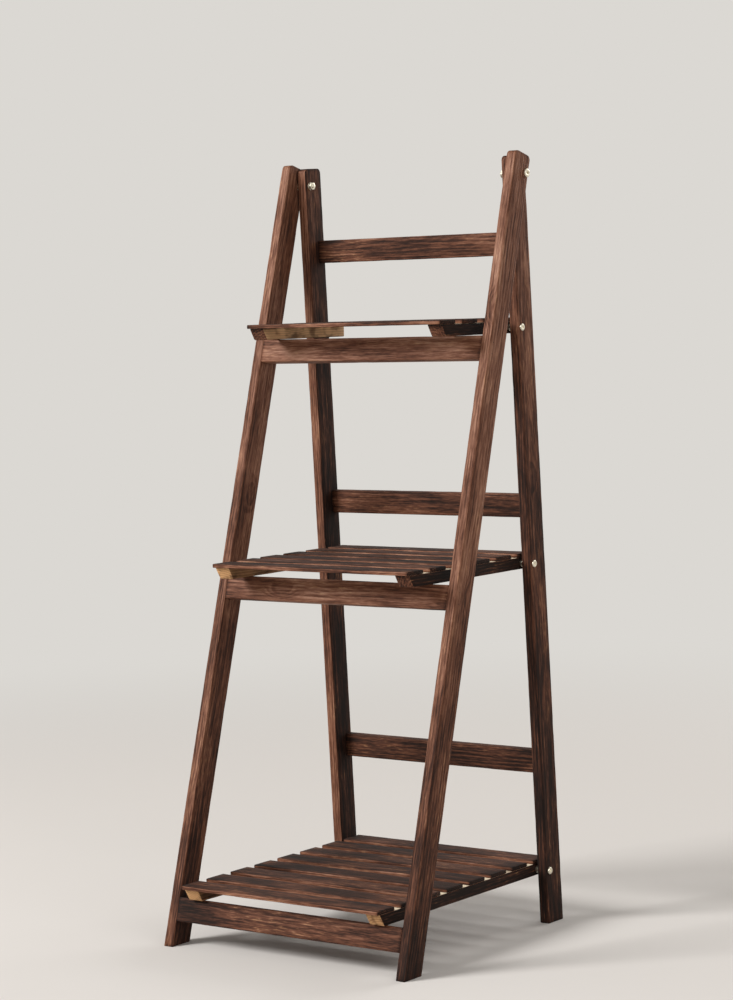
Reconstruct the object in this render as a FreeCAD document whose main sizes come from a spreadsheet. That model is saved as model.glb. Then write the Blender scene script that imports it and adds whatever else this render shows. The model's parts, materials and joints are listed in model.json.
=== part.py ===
import FreeCAD, Part
import os
import Sketcher

# A folding plant stand of torched softwood. A front and a rear ladder frame turn on two bolts near
# the tops of their legs. Three slatted shelves of growing depth turn on bolts in the rear legs, and
# their runners rest on the rungs of the front frame. Lengths are in millimetres and angles in
# degrees. +Z is up, the front of the stand faces -Y, and the origin is on the floor in the middle of
# the stand's footprint.

# Alias, value and meaning of each driving dimension.
SIZES = (
    ("stand_width", 410, "across the outer faces of the front legs"),
    ("pivot_height", 1050, "floor to the hinge bolts"),
    ("front_lean", 16.3, "front frame from the upright"),
    ("rear_lean", 2.3, "rear frame from the upright"),
    ("leg_thickness", 15, "leg, side to side"),
    ("leg_breadth", 37, "leg, front to back"),
    ("leg_overrun", 25.5, "top of a leg past the hinge bolt"),
    ("top_round", 7, "radius of the corners on top of a leg"),
    ("frame_gap", 3, "between a front leg and a rear leg"),
    ("front_pivot_inset", 7, "hinge bolt to the back edge of the front leg"),
    ("rear_pivot_inset", 10, "hinge bolt to the front edge of the rear leg"),
    ("edge_ease", 1.5, "radius of the eased long edges of the frames"),
    ("crosspiece_height", 33, "rungs and rails"),
    ("crosspiece_thickness", 15, "rungs and rails"),
    ("top_rest", 829, "floor to the underside of the top shelf's runners"),
    ("middle_rest", 499, "floor to the underside of the middle shelf's runners"),
    ("bottom_rest", 66, "floor to the underside of the bottom shelf's runners"),
    ("seat_gap", 0.3, "runner to the rung it rests on"),
    ("top_rail_lift", 99.5, "top shelf's bolts to the underside of the rail above, along the leg"),
    ("middle_rail_lift", 62, "middle shelf's bolts to the underside of the rail above"),
    ("bottom_rail_lift", 133, "bottom shelf's bolts to the underside of the rail above"),
    ("slat_width", 37.5, "slat, front to back"),
    ("slat_thickness", 5.5, "slat"),
    ("top_overhang", 67.4, "front edge of the top shelf past the rung that it rests on"),
    ("middle_overhang", 62.7, "front edge of the middle shelf past its rung"),
    ("bottom_overhang", 23.3, "front edge of the bottom shelf past its rung"),
    ("slat_ease", 1.2, "radius of the eased long edges of a slat"),
    ("shelf_clearance", 5, "end of a slat to the rear leg beside it"),
    ("shelf_tail", 27, "shelf bolt to the back edge of the shelf"),
    ("runner_width", 24, "runner, side to side"),
    ("runner_height", 16.5, "runner"),
    ("runner_inset", 0.5, "end of a slat past its runner"),
    ("runner_setback", 5.5, "front edge of the shelf past the top of its runners"),
    ("runner_bevel", 10, "slope of a runner's front end, along the runner"),
    ("bolt_inset", 7.5, "shelf bolts behind the front edge of the rear leg"),
    ("running_play", 0.1, "radial play of a bolt in the wood that turns on it"),
    ("fixed_play", 0.05, "radial play of a bolt or nail in the wood that holds it"),
    ("side_play", 0.2, "between the faces of two pieces that turn past each other"),
    ("hinge_bolt", 6, "diameter"),
    ("hinge_head", 12, "diameter"),
    ("hinge_head_height", 3.4, "head of a hinge bolt"),
    ("hinge_socket", 4, "across the flats of the head's hexagon socket"),
    ("hinge_spacer", 16, "diameter of the washer between the legs"),
    ("hinge_washer", 11, "diameter"),
    ("hinge_nut", 10, "across the flats"),
    ("hinge_nut_height", 5, "nut of a hinge bolt"),
    ("shelf_bolt", 5, "diameter"),
    ("shelf_head", 10, "diameter"),
    ("shelf_head_height", 2.3, "head of a shelf bolt"),
    ("shelf_socket", 3, "across the flats of the head's hexagon socket"),
    ("shelf_spacer", 10, "diameter of the spacer between leg and runner"),
    ("shelf_insert", 8, "diameter of the threaded insert in a runner"),
    ("shelf_insert_length", 10, "insert, from the outer face of its runner"),
    ("insert_room", 0.5, "hole in a runner past the end of its insert"),
    ("washer_thickness", 1, "under the nuts of the hinge bolts"),
    ("head_round", 1.2, "radius of the rim of a bolt head"),
    ("socket_floor", 1, "metal left in a head below its socket"),
    ("thread_end", 1.5, "end of a hinge bolt past its nut"),
    ("nail", 1.6, "diameter"),
    ("frame_nail_length", 40, "nail through a leg into a rung or rail"),
    ("frame_nail_spread", 16, "between the two nails of a joint"),
    ("slat_nail_length", 13, "nail through a slat into a runner"),
    ("slat_nail_spread", 14, "between the two nails of a slat's end"),
    ("slat_nail_inset", 8, "nails of a slat to the inner face of the runner"),
)

# How many slats each shelf has. The gaps between them share out the rest of its depth.
SLAT_COUNT = {"top": 4, "middle": 6, "bottom": 8}
TIERS = tuple(SLAT_COUNT)

ALONG_X = FreeCAD.Vector(1, 0, 0)
ALONG_Y = FreeCAD.Vector(0, 1, 0)
ALONG_Z = FreeCAD.Vector(0, 0, 1)
# Turning about this axis moves the top of an upright piece forward or backward.
FORWARD = ALONG_X
BACKWARD = -ALONG_X
SIDES = {"left": "-1", "right": "1"}
# Two directions or places that differ by less than this are the same.
NEARLY = 1e-6

doc = FreeCAD.newDocument("PlantStand")
sheet = doc.addObject("Spreadsheet::Sheet", "Sizes")
for row, (alias, value, meaning) in enumerate(SIZES, start=1):
    sheet.set(f"A{row}", alias)
    sheet.set(f"B{row}", str(value))
    sheet.set(f"C{row}", meaning)
    sheet.setAlias(f"B{row}", alias)
doc.recompute()

pieces = []


# ---- Places worked out from the sizes ----------------------------------------------------------
# Layout holds the distances that several pieces share. A reach, a back or a drop is measured from
# the hinge bolts, and a shelf's front from its own bolts.

layout = doc.addObject("App::VarSet", "Layout")


def work_out(name, expression):
    layout.addProperty("App::PropertyFloat", name, "Layout")
    layout.setExpression(name, expression)


work_out("half_width", "Sizes.stand_width / 2")
work_out("front_inner", "Layout.half_width - Sizes.leg_thickness")
work_out("rear_outer", "Layout.front_inner - Sizes.frame_gap")
work_out("rear_inner", "Layout.rear_outer - Sizes.leg_thickness")
work_out("slat_half", "Layout.rear_inner - Sizes.shelf_clearance")
work_out("runner_outer", "Layout.slat_half - Sizes.runner_inset")
work_out("runner_inner", "Layout.runner_outer - Sizes.runner_width")
work_out("runner_middle", "(Layout.runner_outer + Layout.runner_inner) / 2")
work_out("nail_column", "Layout.runner_inner + Sizes.slat_nail_inset")
work_out("front_face", "Sizes.leg_breadth - Sizes.front_pivot_inset")
work_out("rear_face", "Sizes.leg_breadth - Sizes.rear_pivot_inset")
work_out("bolt_line", "Sizes.bolt_inset - Sizes.rear_pivot_inset")
work_out("front_rise", "1 / cos(Sizes.front_lean)")
work_out("rear_rise", "1 / cos(Sizes.rear_lean)")

for tier, count in SLAT_COUNT.items():
    work_out(f"{tier}_bolt_height", f"Sizes.{tier}_rest + Sizes.runner_height / 2")
    work_out(f"{tier}_bolt_drop",
             f"(Sizes.pivot_height - Layout.{tier}_bolt_height"
             " + Layout.bolt_line * sin(Sizes.rear_lean)) * Layout.rear_rise")
    work_out(f"{tier}_bolt_back",
             "Layout.bolt_line * Layout.rear_rise"
             f" + (Sizes.pivot_height - Layout.{tier}_bolt_height) * tan(Sizes.rear_lean)")
    work_out(f"{tier}_rail_top",
             f"Sizes.{tier}_rail_lift + Sizes.crosspiece_height - Layout.{tier}_bolt_drop")
    # The runners rest on the rung along the arc of its eased top edge.
    work_out(f"{tier}_rung_top",
             f"(Sizes.{tier}_rest - Sizes.seat_gap - Sizes.edge_ease - Sizes.pivot_height"
             " - (Layout.front_face - Sizes.edge_ease) * sin(Sizes.front_lean))"
             " * Layout.front_rise + Sizes.edge_ease")
    work_out(f"{tier}_rung_reach",
             "(Layout.front_face - Sizes.edge_ease) * cos(Sizes.front_lean)"
             f" - (Layout.{tier}_rung_top - Sizes.edge_ease) * sin(Sizes.front_lean)")
    work_out(f"{tier}_front",
             f"Layout.{tier}_rung_reach + Sizes.{tier}_overhang + Layout.{tier}_bolt_back")
    work_out(f"{tier}_pitch",
             f"(Layout.{tier}_front + Sizes.shelf_tail - Sizes.slat_width) / {count - 1}")

work_out("front_reach",
         "max(Layout.front_face * Layout.front_rise + Sizes.pivot_height * tan(Sizes.front_lean);"
         + ";".join(f"Layout.{tier}_front - Layout.{tier}_bolt_back" for tier in TIERS) + ")")
work_out("rear_reach",
         "max(Layout.rear_face * Layout.rear_rise + Sizes.pivot_height * tan(Sizes.rear_lean);"
         + ";".join(f"Layout.{tier}_bolt_back + Sizes.shelf_tail" for tier in TIERS) + ")")
work_out("pivot_y", "(Layout.front_reach - Layout.rear_reach) / 2")
doc.recompute()


# ---- Helpers ----------------------------------------------------------------------------------

def new_piece(label):
    """A body whose label is the name of the piece."""
    body = doc.addObject("PartDesign::Body", label)
    body.Label = label
    pieces.append(body)
    return body


def set_down(body, x, y, z, lean="0", towards=BACKWARD):
    """Place a body at x, y, z and lean it about the X axis."""
    body.Placement = FreeCAD.Placement(FreeCAD.Vector(), FreeCAD.Rotation(towards, 1))
    body.setExpression("Placement.Base.x", x)
    body.setExpression("Placement.Base.y", y)
    body.setExpression("Placement.Base.z", z)
    body.setExpression("Placement.Rotation.Angle", lean)


def origin_plane(body, role):
    return next(feature for feature in body.Origin.OriginFeatures if feature.Role == role)


def new_sketch(body, name, role, offset="0"):
    """A sketch on one of the body's own planes, or offset from it along its normal."""
    sketch = body.newObject("Sketcher::SketchObject", name)
    sketch.AttachmentSupport = [(origin_plane(body, role), "")]
    sketch.MapMode = "FlatFace"
    sketch.setExpression("AttachmentOffset.Base.z", offset)
    return sketch


def bind(sketch, constraint, expression):
    index = sketch.addConstraint(constraint)
    sketch.setExpression(f"Constraints[{index}]", expression)


def bind_point(sketch, geometry, point, position):
    """Hold a point of the sketch at a pair of expressions, measured from the sketch's origin."""
    bind(sketch, Sketcher.Constraint("DistanceX", -1, 1, geometry, point, 1), position[0])
    bind(sketch, Sketcher.Constraint("DistanceY", -1, 1, geometry, point, 1), position[1])


def add_outline(sketch, corners):
    """A closed outline of straight lines through corners given as pairs of expressions."""
    count = len(corners)
    # The lines start as an even polygon and are drawn to their corners by the constraints.
    spots = [FreeCAD.Rotation(ALONG_Z, 360 * step / count).multVec(ALONG_X) for step in range(count)]
    for step in range(count):
        sketch.addGeometry(Part.LineSegment(spots[step], spots[(step + 1) % count]))
    for step in range(count):
        sketch.addConstraint(Sketcher.Constraint("Coincident", step, 2, (step + 1) % count, 1))
    for step, corner in enumerate(corners):
        bind_point(sketch, step, 1, corner)


def add_circle(sketch, centre, diameter):
    outline = Part.Circle()
    circle = sketch.addGeometry(outline)
    bind_point(sketch, circle, 3, centre)
    bind(sketch, Sketcher.Constraint("Diameter", circle, 2 * outline.Radius), diameter)


def pad(body, sketch, length, both_ways=False):
    feature = body.newObject("PartDesign::Pad", "Pad")
    feature.Profile = sketch
    feature.SideType = "Symmetric" if both_ways else "One side"
    feature.setExpression("Length", length)
    return feature


def pocket(body, sketch, depth):
    """A pocket that goes into the body against the normal of its sketch."""
    feature = body.newObject("PartDesign::Pocket", "Pocket")
    feature.Profile = sketch
    feature.setExpression("Length", depth)
    return feature


def straight_edges(shape, direction, keep=lambda edge: True):
    """Names of the straight edges that run along a direction."""
    return [f"Edge{number}" for number, edge in enumerate(shape.Edges, start=1)
            if edge.Curve.TypeId == "Part::GeomLine"
            and abs(edge.tangentAt(edge.FirstParameter).dot(direction)) > 1 - NEARLY
            and keep(edge)]


def round_edges(body, feature, names, radius):
    fillet = body.newObject("PartDesign::Fillet", "Fillet")
    fillet.Base = (feature, names)
    fillet.setExpression("Radius", radius)
    return fillet


def ease_edges(body, feature, direction, radius):
    """Round the edges of a feature that run along a direction."""
    doc.recompute()
    return round_edges(body, feature, straight_edges(feature.Shape, direction), radius)


def mirror_body(body):
    """Repeat all of a body on the other side of its YZ plane."""
    doc.recompute()
    mirrored = body.newObject("PartDesign::Mirrored", "Mirrored")
    mirrored.TransformMode = "Whole shape"
    mirrored.MirrorPlane = (origin_plane(body, "YZ_Plane"), [""])
    body.Tip = mirrored


NAIL_HOLE = "Sizes.nail + 2 * Sizes.fixed_play"


# ---- The two frames ----------------------------------------------------------------------------
# Each frame is drawn upright with the hinge bolts' axis through its origin, and then leans about
# that axis: the front frame's legs run forward as they go down, and the rear frame's run back.

def frame_front(body, x):
    set_down(body, x, "Layout.pivot_y", "Sizes.pivot_height", "Sizes.front_lean", BACKWARD)


def frame_rear(body, x):
    set_down(body, x, "Layout.pivot_y", "Sizes.pivot_height", "Sizes.rear_lean", FORWARD)


def nail_rows(top, middle):
    """The two nail places at the end of a crosspiece: its top edge and its middle line."""
    centre = f"({top} - Sizes.crosspiece_height / 2)"
    return [(middle, f"{centre} + Sizes.frame_nail_spread / 2"),
            (middle, f"{centre} - Sizes.frame_nail_spread / 2")]


RUNG_MIDDLE = "-Layout.front_face + Sizes.crosspiece_thickness / 2"
RAIL_MIDDLE = "Layout.rear_face - Sizes.crosspiece_thickness / 2"
RUNG_NAILS = [place for tier in TIERS for place in nail_rows(f"Layout.{tier}_rung_top", RUNG_MIDDLE)]
RAIL_NAILS = [place for tier in TIERS for place in nail_rows(f"Layout.{tier}_rail_top", RAIL_MIDDLE)]


def leg(label, front, back, foot, holes):
    """A leg between two lines, its top square and its foot cut level with the floor."""
    body = new_piece(label)
    sketch = new_sketch(body, "side_view", "YZ_Plane")
    add_outline(sketch, [(front, "Sizes.leg_overrun"), (front, foot(front)),
                         (back, foot(back)), (back, "Sizes.leg_overrun")])
    for centre, diameter in holes:
        add_circle(sketch, centre, diameter)
    stock = pad(body, sketch, "Sizes.leg_thickness", both_ways=True)
    doc.recompute()
    corners = straight_edges(
        stock.Shape, ALONG_X, lambda edge: abs(edge.CenterOfMass.z - sheet.leg_overrun) < NEARLY)
    rounded = round_edges(body, stock, corners, "Sizes.top_round")
    ease_edges(body, rounded, ALONG_Z, "Sizes.edge_ease")
    return body


def front_foot(line):
    return f"({line} * sin(Sizes.front_lean) - Sizes.pivot_height) * Layout.front_rise"


def rear_foot(line):
    return f"-({line} * sin(Sizes.rear_lean) + Sizes.pivot_height) * Layout.rear_rise"


def crosspiece(label, middle, top):
    """A rung or rail butted between two legs, with nail holes in both ends."""
    body = new_piece(label)
    sketch = new_sketch(body, "end_view", "YZ_Plane")
    near = f"{middle} - Sizes.crosspiece_thickness / 2"
    far = f"{middle} + Sizes.crosspiece_thickness / 2"
    low = f"{top} - Sizes.crosspiece_height"
    add_outline(sketch, [(near, top), (near, low), (far, low), (far, top)])
    return body, sketch


def finish_crosspiece(body, sketch, half_length, nails):
    stock = pad(body, sketch, half_length)
    ease_edges(body, stock, ALONG_X, "Sizes.edge_ease")
    holes = new_sketch(body, "nail_holes", "YZ_Plane", half_length)
    for centre in nails:
        add_circle(holes, centre, NAIL_HOLE)
    pocket(body, holes, "Sizes.frame_nail_length - Sizes.leg_thickness")
    mirror_body(body)


for side, sign in SIDES.items():
    hinge_hole = (("0", "0"), "Sizes.hinge_bolt + 2 * Sizes.running_play")
    holes = [hinge_hole] + [(place, NAIL_HOLE) for place in RUNG_NAILS]
    piece = leg(f"front_leg_{side}", "-Layout.front_face", "Sizes.front_pivot_inset",
                front_foot, holes)
    frame_front(piece, f"{sign} * (Layout.front_inner + Sizes.leg_thickness / 2)")

for side, sign in SIDES.items():
    holes = [(("0", "0"), "Sizes.hinge_bolt + 2 * Sizes.fixed_play")]
    holes += [(("Layout.bolt_line", f"-Layout.{tier}_bolt_drop"),
               "Sizes.shelf_bolt + 2 * Sizes.running_play") for tier in TIERS]
    holes += [(place, NAIL_HOLE) for place in RAIL_NAILS]
    piece = leg(f"rear_leg_{side}", "-Sizes.rear_pivot_inset", "Layout.rear_face",
                rear_foot, holes)
    frame_rear(piece, f"{sign} * (Layout.rear_inner + Sizes.leg_thickness / 2)")

for tier in TIERS:
    rung_top = f"Layout.{tier}_rung_top"
    piece, end_view = crosspiece(f"{tier}_rung", RUNG_MIDDLE, rung_top)
    finish_crosspiece(piece, end_view, "Layout.front_inner", nail_rows(rung_top, RUNG_MIDDLE))
    frame_front(piece, "0")

for tier in TIERS:
    rail_top = f"Layout.{tier}_rail_top"
    piece, end_view = crosspiece(f"{tier}_rail", RAIL_MIDDLE, rail_top)
    finish_crosspiece(piece, end_view, "Layout.rear_inner", nail_rows(rail_top, RAIL_MIDDLE))
    frame_rear(piece, "0")


def frame_nails(label, outer_face, places):
    """The nails through both legs of a frame, their heads flush with the legs' outer faces."""
    body = new_piece(label)
    sketch = new_sketch(body, "nails", "YZ_Plane", f"{outer_face} - Sizes.frame_nail_length")
    for centre in places:
        add_circle(sketch, centre, "Sizes.nail")
    pad(body, sketch, "Sizes.frame_nail_length")
    mirror_body(body)
    return body


frame_front(frame_nails("front_frame_nails", "Layout.half_width", RUNG_NAILS), "0")
frame_rear(frame_nails("rear_frame_nails", "Layout.rear_outer", RAIL_NAILS), "0")


# ---- The shelves --------------------------------------------------------------------------------
# Each shelf is drawn about its own bolts' axis, level, with its runners' middle at that height.

def shelf_place(body, tier, x, ahead="0", above="0"):
    """Place a piece of a shelf by how far it lies ahead of and above the shelf's bolts."""
    set_down(body, x, f"Layout.pivot_y + Layout.{tier}_bolt_back - ({ahead})",
             f"Layout.{tier}_bolt_height + {above}")


def slat_middles(tier):
    """How far the middle of each slat lies ahead of the shelf's bolts, from the front one back."""
    return [f"Layout.{tier}_front - Sizes.slat_width / 2 - {place} * Layout.{tier}_pitch"
            for place in range(SLAT_COUNT[tier])]


def slat_nail_places(middle):
    """Where the two nails of a slat's end lie, front to back."""
    return [f"-({middle}) - Sizes.slat_nail_spread / 2", f"-({middle}) + Sizes.slat_nail_spread / 2"]


def runner(label, tier, sign):
    """A runner with its front end bevelled, a hole for an insert in its outer face, and nail holes."""
    body = new_piece(label)
    side_view = new_sketch(body, "side_view", "YZ_Plane")
    top = "Sizes.runner_height / 2"
    front = f"-(Layout.{tier}_front - Sizes.runner_setback)"
    add_outline(side_view, [("Sizes.shelf_tail", top), (front, top),
                            (f"{front} + Sizes.runner_bevel", f"-{top}"),
                            ("Sizes.shelf_tail", f"-{top}")])
    stock = pad(body, side_view, "Sizes.runner_width", both_ways=True)
    ease_edges(body, stock, ALONG_Y, "Sizes.slat_ease")
    depth = "(Sizes.shelf_insert_length + Sizes.insert_room)"
    # A pocket goes towards -X, so it starts at the outer face on the right and ends there on the left.
    insert_hole = new_sketch(body, "insert_hole", "YZ_Plane",
                             f"{sign} * Sizes.runner_width / 2 + (1 - ({sign})) / 2 * {depth}")
    add_circle(insert_hole, ("0", "0"), "Sizes.shelf_insert + 2 * Sizes.fixed_play")
    pocket(body, insert_hole, depth)
    holes = new_sketch(body, "nail_holes", "XY_Plane", top)
    column = f"{sign} * (Layout.nail_column - Layout.runner_middle)"
    for middle in slat_middles(tier):
        for place in slat_nail_places(middle):
            add_circle(holes, (column, place), NAIL_HOLE)
    pocket(body, holes, "Sizes.slat_nail_length - Sizes.slat_thickness")
    return body


def slat(label):
    """A slat with two nail holes above each runner."""
    body = new_piece(label)
    plan = new_sketch(body, "plan", "XY_Plane")
    edge = "Sizes.slat_width / 2"
    add_outline(plan, [("-Layout.slat_half", f"-{edge}"), ("Layout.slat_half", f"-{edge}"),
                       ("Layout.slat_half", edge), ("-Layout.slat_half", edge)])
    for sign in SIDES.values():
        for place in slat_nail_places("0"):
            add_circle(plan, (f"{sign} * Layout.nail_column", place), NAIL_HOLE)
    stock = pad(body, plan, "Sizes.slat_thickness", both_ways=True)
    ease_edges(body, stock, ALONG_X, "Sizes.slat_ease")
    return body


def shelf_nails(label, tier):
    """The nails of one shelf, their heads flush with the tops of the slats."""
    body = new_piece(label)
    plan = new_sketch(body, "nails", "XY_Plane",
                      "Sizes.runner_height / 2 + Sizes.slat_thickness - Sizes.slat_nail_length")
    for middle in slat_middles(tier):
        for place in slat_nail_places(middle):
            add_circle(plan, ("Layout.nail_column", place), "Sizes.nail")
    pad(body, plan, "Sizes.slat_nail_length")
    mirror_body(body)
    return body


for tier in TIERS:
    for side, sign in SIDES.items():
        shelf_place(runner(f"{tier}_runner_{side}", tier, sign), tier,
                    f"{sign} * Layout.runner_middle")
    for number, middle in enumerate(slat_middles(tier), start=1):
        shelf_place(slat(f"{tier}_slat_{number}"), tier, "0", middle,
                    "(Sizes.runner_height + Sizes.slat_thickness) / 2")
    shelf_place(shelf_nails(f"{tier}_shelf_nails", tier), tier, "0")


# ---- Bolts, spacers, washers, nuts and inserts ----------------------------------------------------
# Each is drawn along +X on the right-hand side about its bolt's axis and repeated on the left.

def hexagon(across_flats):
    """The corners of a hexagon around the sketch's origin."""
    return [(f"{across_flats} / 2 / cos(30) * cos({60 * corner})",
             f"{across_flats} / 2 / cos(30) * sin({60 * corner})") for corner in range(6)]


def bolts(label, kind, seat, end):
    """A pair of bolts whose heads sit at `seat` and whose threads end at `end`."""
    body = new_piece(label)
    profile = new_sketch(body, "half_section", "XY_Plane")
    shank = f"Sizes.{kind}_bolt / 2"
    rim = f"Sizes.{kind}_head / 2"
    top = f"{seat} + Sizes.{kind}_head_height"
    add_outline(profile, [(end, "0"), (end, shank), (seat, shank), (seat, rim), (top, rim), (top, "0")])
    turned = body.newObject("PartDesign::Revolution", "Revolution")
    turned.Profile = profile
    turned.ReferenceAxis = (profile, ["H_Axis"])
    turned.Angle = 360
    doc.recompute()
    outside = turned.Shape.BoundBox.XMax
    rims = [f"Edge{number}" for number, edge in enumerate(turned.Shape.Edges, start=1)
            if edge.Curve.TypeId == "Part::GeomCircle" and abs(edge.CenterOfMass.x - outside) < NEARLY]
    round_edges(body, turned, rims, "Sizes.head_round")
    socket = new_sketch(body, "socket", "YZ_Plane", top)
    add_outline(socket, hexagon(f"Sizes.{kind}_socket"))
    pocket(body, socket, f"Sizes.{kind}_head_height - Sizes.socket_floor")
    mirror_body(body)
    return body


def rings(label, bore, outside, inner_face, thickness):
    """A pair of flat rings from `inner_face` outwards."""
    body = new_piece(label)
    sketch = new_sketch(body, "face_view", "YZ_Plane", inner_face)
    add_circle(sketch, ("0", "0"), bore)
    add_circle(sketch, ("0", "0"), outside)
    pad(body, sketch, thickness)
    mirror_body(body)
    return body


def nuts(label, kind, bore, inner_face):
    """A pair of hexagon nuts from `inner_face` outwards."""
    body = new_piece(label)
    sketch = new_sketch(body, "face_view", "YZ_Plane", inner_face)
    add_outline(sketch, hexagon(f"Sizes.{kind}_nut"))
    add_circle(sketch, ("0", "0"), bore)
    pad(body, sketch, f"Sizes.{kind}_nut_height")
    mirror_body(body)
    return body


def bore(kind):
    return f"Sizes.{kind}_bolt + 2 * Sizes.fixed_play"


def line_up(group, back, height):
    """Put a group of fasteners on one axis."""
    for body in group:
        set_down(body, "0", f"Layout.pivot_y + {back}", height)


# The hinge bolts are clamped in the rear legs by their nuts, and the front legs turn on them.
hinge_washer_face = "Layout.rear_inner - Sizes.washer_thickness"
hinge_nut_face = f"{hinge_washer_face} - Sizes.hinge_nut_height"
line_up([
    bolts("hinge_bolts", "hinge", "Layout.half_width + Sizes.side_play",
          f"{hinge_nut_face} - Sizes.thread_end"),
    rings("hinge_spacers", bore("hinge"), "Sizes.hinge_spacer", "Layout.rear_outer",
          "Sizes.frame_gap - Sizes.side_play"),
    rings("hinge_washers", bore("hinge"), "Sizes.hinge_washer", hinge_washer_face,
          "Sizes.washer_thickness"),
    nuts("hinge_nuts", "hinge", bore("hinge"), hinge_nut_face),
], "0", "Sizes.pivot_height")

# The shelf bolts are screwed tight into inserts in the runners, and turn with them in the rear legs.
insert_face = "Layout.runner_outer - Sizes.shelf_insert_length"
for tier in TIERS:
    line_up([
        bolts(f"{tier}_shelf_bolts", "shelf", "Layout.rear_outer + Sizes.side_play", insert_face),
        rings(f"{tier}_shelf_spacers", bore("shelf"), "Sizes.shelf_spacer", "Layout.runner_outer",
              "Layout.rear_inner - Sizes.side_play - Layout.runner_outer"),
        rings(f"{tier}_shelf_inserts", bore("shelf"), "Sizes.shelf_insert", insert_face,
              "Sizes.shelf_insert_length"),
    ], f"Layout.{tier}_bolt_back", f"Layout.{tier}_bolt_height")


# ---- Check and write every piece --------------------------------------------------------------------

doc.recompute()
failed = [item.Name for item in doc.Objects
          if "Invalid" in item.State or "Error" in item.State]
if failed:
    raise RuntimeError(f"these objects failed to build: {failed}")
for piece in pieces:
    if piece.Shape.isNull() or not piece.Shape.isValid() or not piece.Shape.Solids:
        raise RuntimeError(f"{piece.Label} has no valid solid")

os.makedirs("parts", exist_ok=True)
for piece in pieces:
    piece.Shape.exportStep(f"parts/{piece.Label}.step")

whole = Part.makeCompound([piece.Shape for piece in pieces]).optimalBoundingBox()
print(f"{len(pieces)} pieces, {sum(len(piece.Shape.Solids) for piece in pieces)} solids")
print(f"x {whole.XMin:.2f} to {whole.XMax:.2f}, y {whole.YMin:.2f} to {whole.YMax:.2f},"
      f" z {whole.ZMin:.2f} to {whole.ZMax:.2f}")
print(f"hinge bolts at y {layout.pivot_y:.3f}, z {sheet.pivot_height:.3f}")
for tier in TIERS:
    back = layout.pivot_y + getattr(layout, f"{tier}_bolt_back")
    print(f"{tier} shelf bolts at y {back:.3f}, z {getattr(layout, f'{tier}_bolt_height'):.3f}")
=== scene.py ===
# %% [markdown]
# # A folding plant stand of torched wood
#
# Two ladder frames hinge near their tops and carry three slatted shelves. The measured model of the
# stand is loaded first and is never changed. Every board, bolt and nail is then made again over it
# as a piece of its own, because that is how the real stand is put together: a board that is a
# separate object can have its own grain, its own tint and its own worn edges, and can turn with the
# joint it belongs to.

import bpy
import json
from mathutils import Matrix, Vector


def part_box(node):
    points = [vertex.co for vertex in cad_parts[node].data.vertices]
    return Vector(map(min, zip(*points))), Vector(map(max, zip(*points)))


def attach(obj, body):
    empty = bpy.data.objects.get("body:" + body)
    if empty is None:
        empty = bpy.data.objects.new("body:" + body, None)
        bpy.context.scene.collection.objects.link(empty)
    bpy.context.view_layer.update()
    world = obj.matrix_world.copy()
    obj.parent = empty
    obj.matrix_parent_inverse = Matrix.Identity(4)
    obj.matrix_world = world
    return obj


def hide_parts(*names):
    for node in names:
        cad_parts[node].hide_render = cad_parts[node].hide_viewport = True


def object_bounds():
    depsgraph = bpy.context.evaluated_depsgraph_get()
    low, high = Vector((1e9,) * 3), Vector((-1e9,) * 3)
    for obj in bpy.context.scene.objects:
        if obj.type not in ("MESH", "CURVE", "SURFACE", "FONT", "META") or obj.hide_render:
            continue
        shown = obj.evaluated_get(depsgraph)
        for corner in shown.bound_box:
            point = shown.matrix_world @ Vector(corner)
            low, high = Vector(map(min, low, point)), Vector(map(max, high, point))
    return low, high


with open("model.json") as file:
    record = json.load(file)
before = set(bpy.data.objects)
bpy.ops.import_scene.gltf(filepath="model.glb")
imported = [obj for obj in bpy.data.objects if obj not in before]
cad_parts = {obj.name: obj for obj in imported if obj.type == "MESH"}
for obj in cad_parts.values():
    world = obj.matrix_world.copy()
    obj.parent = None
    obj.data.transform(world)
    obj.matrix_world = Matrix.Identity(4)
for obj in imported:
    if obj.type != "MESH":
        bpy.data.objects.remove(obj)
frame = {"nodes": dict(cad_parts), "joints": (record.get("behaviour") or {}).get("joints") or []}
measured_low, measured_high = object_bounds()
print("measured box", [round(value, 4) for value in (*measured_low, *measured_high)])

# %% [markdown]
# Everything below needs a few of Python's and Blender's own modules. `mathutils` holds vectors and
# matrices, and its `noise` gives soft random numbers that are the same at every run.

# %% Tools and short names
import json
import math
import random

import bpy
from mathutils import Matrix, Vector, noise

MM = 0.001
X, Y, Z = range(3)
TIERS = ("top", "middle", "bottom")
SIDES = {"left": -1, "right": 1}
print("tiers", TIERS, "and sides", tuple(SIDES))

# %% [markdown]
# ## How far the frames lean
#
# A shelf tips up until it lies along the rear legs, and the frames fold until their legs lie along
# each other. So the two leans can be read from the limits of those joints. A board is easiest to make
# square to the axes, and a turn about X then leans it: a positive angle moves its top forward.

# %% The joints and the leans
joints = {joint["name"]: joint for joint in frame["joints"]}
rear_lean = math.radians(90 - joints["top_shelf_tip"]["range_deg"][1])
front_lean = math.radians(joints["frame_fold"]["range_deg"][1]) - rear_lean
hinge_line = Vector(joints["frame_fold"]["pos_m"])

LEVEL = Matrix.Identity(3)
FRONT_FRAME = Matrix.Rotation(-front_lean, 3, "X")
REAR_FRAME = Matrix.Rotation(rear_lean, 3, "X")
print("front lean", round(math.degrees(front_lean), 2), "rear lean", round(math.degrees(rear_lean), 2))

# %% [markdown]
# ## Measuring a board square to itself
#
# A leaning board doesn't fill its box, so its vertices are turned upright before they are measured.
# The result is the size of the stock that a maker would cut.

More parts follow.
